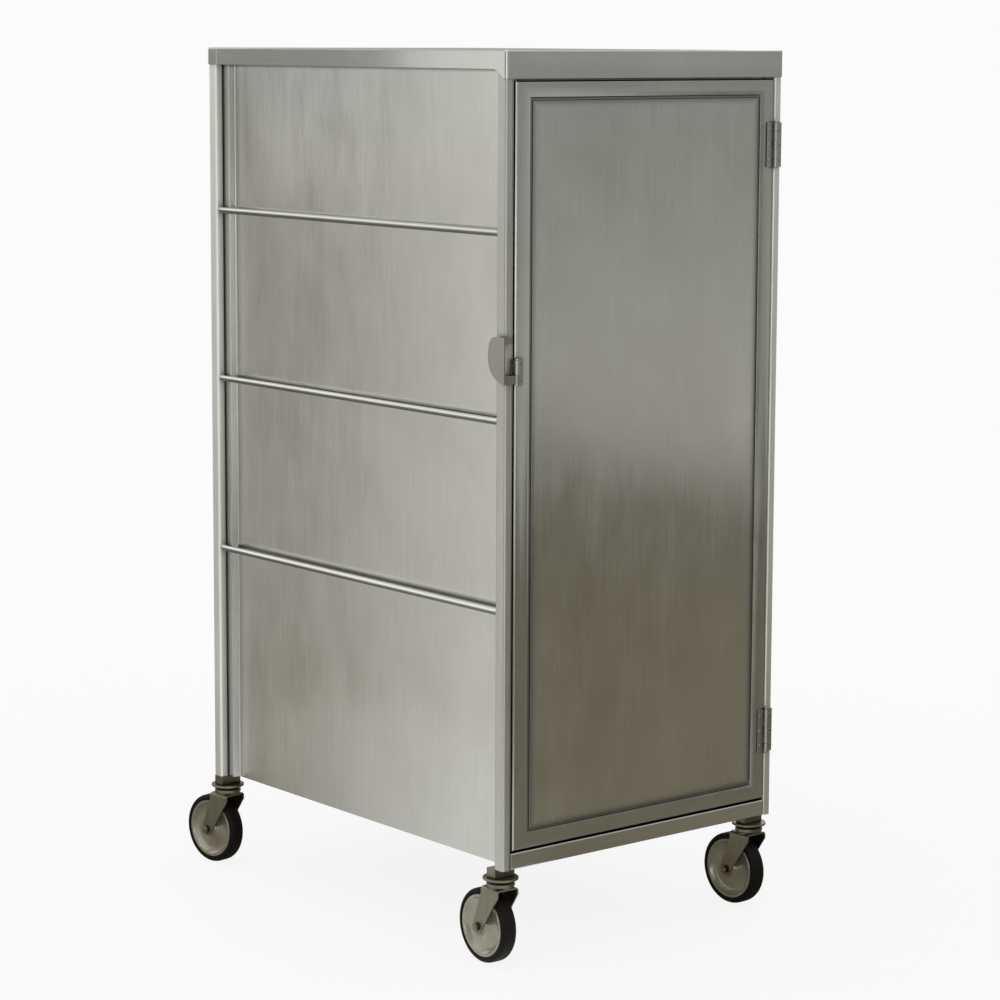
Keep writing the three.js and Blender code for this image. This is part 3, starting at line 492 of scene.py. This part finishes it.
def dressed(node, finishName, edge, angle=38, steps=2):      # the node's own shape with broken edges
    name = f"{node}_finished"
    mesh = mergedCopy(node, name)
    mesh.materials.append(finish[finishName])
    mesh.shade_smooth()
    mesh.set_sharp_from_angle(angle=math.radians(angle))
    thing = linked(name, mesh)
    bevel = thing.modifiers.new("edges", "BEVEL")
    bevel.width = edge * mm
    bevel.segments = steps
    bevel.limit_method = "ANGLE"
    bevel.angle_limit = math.radians(angle)
    flat = thing.modifiers.new("flat faces", "WEIGHTED_NORMAL")
    flat.keep_sharp = True
    plainMesh(thing)
    return settle(thing, bodyOfNode[node], slotOfNode[node], node)


def spun(name, profile, axis, centre, finishName, steps, angle=34):
    # pairs of radius and height in mm; a profile that starts off the axis closes on itself
    shape = bmesh.new()
    rings = []
    for radius, height in profile:
        if radius == 0:
            rings.append([shape.verts.new((0, 0, height * mm))])
            continue
        turns = [2 * math.pi * i / steps for i in range(steps)]
        rings.append([shape.verts.new((radius * mm * math.cos(t), radius * mm * math.sin(t), height * mm))
                      for t in turns])
    follow = rings[1:] + (rings[:1] if profile[0][0] > 0 else [])
    for low, high in zip(rings, follow):
        for i in range(steps):
            j = (i + 1) % steps
            four = [low[i % len(low)], low[j % len(low)], high[j % len(high)], high[i % len(high)]]
            shape.faces.new(list(dict.fromkeys(four)))
    bmesh.ops.recalc_face_normals(shape, faces=shape.faces)
    turn = Vector(axis).to_track_quat("Z", "Y").to_matrix().to_4x4()
    bmesh.ops.transform(shape, matrix=Matrix.Translation(centre) @ turn, verts=shape.verts)
    mesh = bpy.data.meshes.new(name)
    shape.to_mesh(mesh)
    shape.free()
    mesh.shade_smooth()
    mesh.set_sharp_from_angle(angle=math.radians(angle))
    mesh.materials.append(finish[finishName])
    return linked(name, mesh)


def middleOf(node):
    low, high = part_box(node)
    return (low + high) / 2


def newTree(name, labels):
    tree = bpy.data.node_groups.new(name, "GeometryNodeTree")
    tree.interface.new_socket("Geometry", in_out="INPUT", socket_type="NodeSocketGeometry")
    for label in labels:
        tree.interface.new_socket(label, in_out="INPUT", socket_type="NodeSocketFloat")
    tree.interface.new_socket("Material", in_out="INPUT", socket_type="NodeSocketMaterial")
    tree.interface.new_socket("Geometry", in_out="OUTPUT", socket_type="NodeSocketGeometry")
    return tree, addNode(tree, "NodeGroupInput").outputs


def endTree(tree, geometry, material):
    real = addNode(tree, "GeometryNodeRealizeInstances", {0: geometry}).outputs[0]
    painted = addNode(tree, "GeometryNodeSetMaterial", {"Geometry": real, "Material": material}).outputs[0]
    addNode(tree, "NodeGroupOutput", {0: painted})
    return tree


def facingTurn(tree):
    facing = addNode(tree, "GeometryNodeInputNamedAttribute", {"Name": "facing"},
                     data_type="FLOAT_VECTOR").outputs[0]
    return addNode(tree, "FunctionNodeAlignRotationToVector", {"Vector": facing}, axis="Z").outputs[0]


# sides of the head, then as shares of its sizes: its narrow end, the reach and the depth of the cross
screwShape = {"sides": 28, "narrow": 0.74, "reach": 1.15, "deep": 1.2}


def screwTree():      # cross-head screws on points
    tree, given = newTree("screws", ["Head Radius", "Head Height", "Cross Width"])
    radius, height, width = given["Head Radius"], given["Head Height"], given["Cross Width"]
    head = addNode(tree, "GeometryNodeMeshCone", {
        "Vertices": screwShape["sides"], "Radius Bottom": radius,
        "Radius Top": mathNode(tree, "MULTIPLY", radius, screwShape["narrow"]), "Depth": height}).outputs[0]
    arm = mathNode(tree, "MULTIPLY", radius, screwShape["reach"])
    deep = mathNode(tree, "MULTIPLY", height, screwShape["deep"])
    top = addNode(tree, "ShaderNodeCombineXYZ", {"Z": height}).outputs[0]
    crossed = addNode(tree, "GeometryNodeMeshBoolean", {"Mesh 1": head}, operation="DIFFERENCE")
    for x, y in ((arm, width), (width, arm)):
        size = addNode(tree, "ShaderNodeCombineXYZ", {"X": x, "Y": y, "Z": deep}).outputs[0]
        bar = addNode(tree, "GeometryNodeMeshCube", {"Size": size}).outputs[0]
        cutter = addNode(tree, "GeometryNodeTransform", {"Geometry": bar, "Translation": top}).outputs[0]
        tree.links.new(cutter, crossed.inputs["Mesh 2"])
    placed = addNode(tree, "GeometryNodeInstanceOnPoints", {
        "Points": given["Geometry"], "Instance": crossed.outputs[0], "Rotation": facingTurn(tree)}).outputs[0]
    return endTree(tree, placed, given["Material"])


ballShape = {"segments": 14, "rings": 8}


def rowTree():      # rows of weld ripples, spots or rivet heads along paths
    tree, given = newTree("rows", ["Pitch", "Radius", "Height"])
    curve = addNode(tree, "GeometryNodeMeshToCurve", {0: given["Geometry"]}).outputs[0]
    spaced = addNode(tree, "GeometryNodeResampleCurve", {"Curve": curve, "Length": given["Pitch"]},
                     mode="LENGTH").outputs[0]
    ball = addNode(tree, "GeometryNodeMeshUVSphere", {
        "Segments": ballShape["segments"], "Rings": ballShape["rings"], "Radius": given["Radius"]})
    smooth = addNode(tree, "GeometryNodeSetShadeSmooth", {"Geometry": ball.outputs[0]}).outputs[0]
    low = mathNode(tree, "DIVIDE", given["Height"], given["Radius"])
    scale = addNode(tree, "ShaderNodeCombineXYZ", {"X": 1.0, "Y": 1.0, "Z": low}).outputs[0]
    placed = addNode(tree, "GeometryNodeInstanceOnPoints", {
        "Points": spaced, "Instance": smooth, "Rotation": facingTurn(tree), "Scale": scale}).outputs[0]
    return endTree(tree, placed, given["Material"])


trees = {"screws": screwTree(), "rows": rowTree()}


def grown(name, treeName, paths, sizes, finishName, body, slot):
    # paths: lists of (point, facing), each list one path of the row, or loose points
    mesh = bpy.data.meshes.new(name)
    points = [point for path in paths for point, _ in path]
    edges, start = [], 0
    for path in paths:
        edges += [(start + i, start + i + 1) for i in range(len(path) - 1)]
        start += len(path)
    mesh.from_pydata(points, [] if treeName == "screws" else edges, [])
    facing = mesh.attributes.new("facing", "FLOAT_VECTOR", "POINT")
    facing.data.foreach_set("vector", [value for path in paths for _, way in path for value in way])
    thing = linked(name, mesh)
    modifier = thing.modifiers.new("pattern", "NODES")
    modifier.node_group = trees[treeName]
    wanted = {**{label: size * mm for label, size in sizes.items()}, "Material": finish[finishName]}
    for item in trees[treeName].interface.items_tree:
        if item.in_out == "INPUT" and item.name in wanted:
            modifier[item.identifier] = wanted[item.name]
    plainMesh(thing)
    return settle(thing, body, slot)


plainPieces = {
    # node: finish and broken edge in mm
    "top_cap": ("brushedAlong", 0.5),
    "header_rail": ("brushedAcross", 0.3),
    "front_bottom_rail": ("brushedAcross", 0.3),
    "rear_bottom_rail": ("brushedAcross", 0.3),
    "rear_panel": ("brushedUp", 0.25),
    "floor_pan": ("brushedAlong", 0.3),
    "door_pan": ("doorSkin", 0.35),
    "door_liner": ("brushedUp", 0.25),
    "door_gasket": ("gasketRubber", 0.4),
    "latch_base": ("cast", 0.5),
    "latch_handle": ("castDark", 0.8),
    "latch_keeper": ("cast", 0.5),
    "latch_pin": ("polished", 0.4),
}
for side in sides:
    plainPieces[f"side_panel_{side}"] = ("sidePanel", 0.25)
    plainPieces[f"front_jamb_{side}"] = ("brushedUp", 0.3)
    plainPieces[f"ledge_rack_{side}"] = ("brushedAlong", 0.3)
for corner in corners:
    # the front left post takes a darker copy of satin: painted shade
    plainPieces[f"corner_post_{corner}"] = ("satinShadedPost" if corner == "front_left" else "satin", 0.3)
    # the feet are zinc plated, and their dark zinc tone also paints the shade they stand in
    plainPieces[f"foot_{corner}"] = ("zinc", 0.5)
    plainPieces[f"caster_fork_{corner}"] = ("zinc", 0.7)
    plainPieces[f"wheel_axle_{corner}"] = ("zinc", 0.7)
for row in hingeRows:
    for leaf in ("door_leaf", "post_leaf", "pin"):
        plainPieces[f"{row}_hinge_{leaf}"] = ("cast", 0.35)

for node, (finishName, edge) in plainPieces.items():
    dressed(node, finishName, edge)
print("sheet, tube and hardware:", len(plainPieces), "pieces")

# sizes from here on are in mm
rods = {"radius": 5.5, "chamfer": 0.6, "steps": 48}
beads = {"pitch": 1.7, "radius": 1.3, "height": 1.04, "out": 0.5, "turns": 40}      # weld round a rod's end


def rowSizes(size):
    return {"Pitch": size["pitch"], "Radius": size["radius"], "Height": size["height"]}


def beadRing(middle, y, out):
    centre = Vector((middle.x, y + out * beads["out"] * mm, middle.z))
    ring = []
    for i in range(beads["turns"] + 1):
        turn = 2 * math.pi * i / beads["turns"]
        arm = Vector((math.cos(turn), 0, math.sin(turn)))
        ring.append((centre + arm * rods["radius"] * mm, arm + Vector((0, out, 0))))
    return ring


def rubRods():
    for side in sides:
        rings = []
        for row in rodRows:
            node = f"rub_rod_{side}_{row}"
            low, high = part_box(node)
            half = (high.y - low.y) / 2 / mm
            r, c = rods["radius"], rods["chamfer"]
            rod = spun(f"{node}_finished", [
                (0, -half), (r - c, -half), (r, c - half), (r, half - c), (r - c, half), (0, half)],
                (0, 1, 0), middleOf(node), "rod", rods["steps"])
            settle(rod, bodyOfNode[node], slotOfNode[node], node)
            rings += [beadRing(middleOf(node), y, out) for y, out in ((low.y, 1), (high.y, -1))]
        grown(f"rod_welds_{side}", "rows", rings, rowSizes(beads),
              "polished", "cabinet", "polished_stainless")


rubRods()

spots = {"pitch": 72, "radius": 2.1, "height": 0.14, "stripMiddle": 31, "lapFace": 16.3, "endGap": 34}
rivets = {"pitch": 142, "radius": 3.2, "height": 1.0, "inset": 32, "endGap": 45, "sheet": 1.2}


def spotWelds():
    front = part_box("corner_post_front_left")[0]
    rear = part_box("corner_post_rear_right")[1]
    bottom, top = front.z + spots["endGap"] * mm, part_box("top_cap")[0].z - spots["endGap"] * mm
    rows = []
    for way, face in ((-1, front.x), (1, rear.x)):
        x = face - way * spots["lapFace"] * mm
        for y in (front.y + spots["stripMiddle"] * mm, rear.y - spots["stripMiddle"] * mm):
            rows.append([(Vector((x, y, z)), Vector((way, 0, 0))) for z in (bottom, top)])
    grown("side_spot_welds", "rows", rows, rowSizes(spots), "brushedUp", "cabinet", "brushed_stainless")


def rivetRows(name, low, high, y, body):
    inset, gap = rivets["inset"] * mm, rivets["endGap"] * mm
    rows = [[(Vector((x, y, z)), Vector((0, 1, 0))) for z in (low.z + gap, high.z - gap)]
            for x in (low.x + inset, high.x - inset)]
    grown(name, "rows", rows, rowSizes(rivets), "polished", body, "polished_stainless")


def fixings():
    spotWelds()
    low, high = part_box("rear_panel")
    rivetRows("rear_rivets", low, high, low.y + rivets["sheet"] * mm, "cabinet")
    low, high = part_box("door_liner")
    rivetRows("liner_rivets", low, high, high.y, "door")


fixings()

racks = {"levels": 10, "levelPitch": 121, "first": 235, "standardInset": 60, "standardWide": 20, "fold": 4.5,
         "weldDrop": 11, "welds": (5, 15)}      # two welds on each standard, this far along its width
rackSpots = {"pitch": 10, "radius": 2.4, "height": 0.25}


def rackWelds():
    for side, way in sides.items():
        low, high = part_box(f"ledge_rack_{side}")
        wall = low.x if way < 0 else high.x
        x = wall - way * racks["fold"] * mm
        standards = (low.y + racks["standardInset"] * mm,
                     high.y - (racks["standardInset"] + racks["standardWide"]) * mm)
        rows = []
        for level in range(racks["levels"]):
            z = (racks["first"] + level * racks["levelPitch"] - racks["weldDrop"]) * mm
            for y in standards:
                rows.append([(Vector((x, y + along * mm, z)), Vector((-way, 0, 0)))
                             for along in racks["welds"]])
        grown(f"rack_welds_{side}", "rows", rows, rowSizes(rackSpots),
              "brushedAlong", "cabinet", "brushed_stainless")


rackWelds()
print("rods, welds and rivets are made")

hinge = {"leafFace": 2.5, "doorScrew": -11.2, "postScrew": 10.8, "heights": (12, 38, 64), "screwRadius": 2.7,
         "screwHeight": 0.9}
latch = {"plateFace": 4.2, "screwAcross": 12.2, "heights": (4.5, 33.5), "screwRadius": 2.5,
         "screwHeight": 0.8}
crossWidth = 0.75


def screwAt(x, y, z):      # one loose point of a path, facing the front
    return [(Vector((x, y, z)), Vector((0, -1, 0)))]


def hardwareScrews():
    onDoor, onPost = [], []
    pin = Vector(jointNamed["door_swing"]["pos_m"])
    y = pin.y + hinge["leafFace"] * mm
    for row in hingeRows:
        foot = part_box(f"{row}_hinge_door_leaf")[0].z
        for height in hinge["heights"]:
            onDoor.append(screwAt(pin.x + hinge["doorScrew"] * mm, y, foot + height * mm))
            onPost.append(screwAt(pin.x + hinge["postScrew"] * mm, y, foot + height * mm))
    pin = Vector(jointNamed["latch_handle_swing"]["pos_m"])
    x, y = pin.x + latch["screwAcross"] * mm, pin.y + latch["plateFace"] * mm
    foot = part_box("latch_handle")[0].z
    onLatch = [screwAt(x, y, foot + height * mm) for height in latch["heights"]]
    for name, points, body, size in (
            ("hinge_screws_door", onDoor, "door", hinge), ("hinge_screws_post", onPost, "cabinet", hinge),
            ("latch_screws", onLatch, "door", latch)):
        head = {"Head Radius": size["screwRadius"], "Head Height": size["screwHeight"],
                "Cross Width": crossWidth}
        grown(name, "screws", points, head, "cast", body, "polished_stainless")


hardwareScrews()
print("screws are in")

# pairs are steps out from a radius and up from a side
tyre = {"radius": 63.2, "inner": 53.3, "half": 15, "round": 8, "arcParts": 8, "steps": 128,
        "lip": ((0, -2), (1.0, -0.9), (2.0, -0.9), (2.6, -0.2))}
hub = {"outer": 53, "half": 14, "rimInner": 48, "web": 6.5, "boss": 13, "bossHalf": 18.5, "bore": 4.15,
       "nose": ((-3.4, 0), (-2.3, -0.3), (-1.4, -1.1), (-0.6, -2.6)),      # the boss's rounded end
       "rimStep": ((0.5, -0.2), (1.4, 0)), "edge": 0.6, "steps": 96}
flare = {"wide": 14, "fromEnd": 4.2, "overWeb": 0.6, "foot": 2.2, "outPower": 1.5, "downPower": 1.4,
         "parts": 6}
dish = {"wide": 13, "underRim": 1, "power": 2.4, "parts": 8}
housing = {"top": 154, "plate": 4, "plateRadius": 30, "plateEdge": 0.7, "race": 3.6, "raceRadius": 21,
           "raceEdge": 1, "fillet": 0.6, "pin": 5, "pinTop": 163, "pinEdge": 0.8, "head": 9, "headTall": 4.5,
           "headEdge": 1, "steps": 64}


def bothSides(side):      # a profile's one side, then the same on the other side of the middle plane
    return side + [(radius, -x) for radius, x in reversed(side)]


def tyreProfile():
    r, half, curve = tyre["radius"], tyre["half"], tyre["round"]
    side = [(tyre["inner"] + out, half + up) for out, up in tyre["lip"]]
    for i in range(tyre["arcParts"] + 1):
        t = i / tyre["arcParts"]
        side.append((r - curve * (1 - t) ** 2, half - curve * t * t))
    return bothSides(side)


def hubProfile():
    rim, web, boss, half, end = hub["rimInner"], hub["web"], hub["boss"], hub["half"], hub["bossHalf"]
    side = [(hub["bore"], end)] + [(boss + out, end + up) for out, up in hub["nose"]]
    low, high = web + flare["overWeb"], end - flare["fromEnd"]
    for i in range(flare["parts"] + 1):      # the boss flares down to the web in an easy curve
        t = i / flare["parts"]
        side.append((boss + flare["wide"] * t ** flare["outPower"],
                     high + (low - high) * (1 - (1 - t) ** flare["downPower"])))
    side.append((boss + flare["wide"] + flare["foot"], web))
    rise = half - dish["underRim"] - web
    for i in range(dish["parts"] + 1):      # and the web rises to the rim like a dish
        t = i / dish["parts"]
        side.append((rim - dish["wide"] * (1 - t), web + rise * t ** dish["power"]))
    side += [(rim + out, half + up) for out, up in hub["rimStep"]]
    side += [(hub["outer"] - hub["edge"], half), (hub["outer"], half - hub["edge"])]
    return bothSides(side)


def housingProfile(bridge):
    pin, head, race, plate = housing["pin"], housing["head"], housing["raceRadius"], housing["plateRadius"]
    headEdge, raceEdge, plateEdge = housing["headEdge"], housing["raceEdge"], housing["plateEdge"]
    top, pinTop, pinEdge, fillet = housing["top"], housing["pinTop"], housing["pinEdge"], housing["fillet"]
    headLow = bridge - housing["headTall"]
    raceTop = top - housing["plate"]
    raceLow = raceTop - housing["race"]
    return [(0, headLow), (head - headEdge, headLow), (head, headLow + headEdge), (head, bridge),
            (pin, bridge), (pin, raceLow), (race - raceEdge, raceLow), (race, raceLow + raceEdge),
            (race, raceTop - fillet), (race + fillet, raceTop), (plate - plateEdge, raceTop),
            (plate, raceTop + plateEdge), (plate, top - plateEdge), (plate - plateEdge, top), (pin, top),
            (pin, pinTop - pinEdge), (pin - pinEdge, pinTop), (0, pinTop)]


def casters():
    for corner in corners:
        spin = jointNamed[f"wheel_spin_{corner}"]
        for part, profile, finishName, steps in (
                ("tyre", tyreProfile(), "tyreRubber", tyre["steps"]),
                ("hub", hubProfile(), "hubPlastic", hub["steps"])):
            node = f"wheel_{part}_{corner}"
            wheel = spun(f"{node}_finished", profile, spin["axis"], spin["pos_m"], finishName, steps)
            settle(wheel, bodyOfNode[node], slotOfNode[node], node)
        swivel = jointNamed[f"caster_swivel_{corner}"]
        node = f"caster_housing_{corner}"
        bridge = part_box(node)[0].z / mm + housing["headTall"]
        plate = spun(f"{node}_finished", housingProfile(bridge), (0, 0, 1),
                     (swivel["pos_m"][0], swivel["pos_m"][1], 0), "zinc", housing["steps"])
        settle(plate, bodyOfNode[node], slotOfNode[node], node)


casters()
print("casters are in")
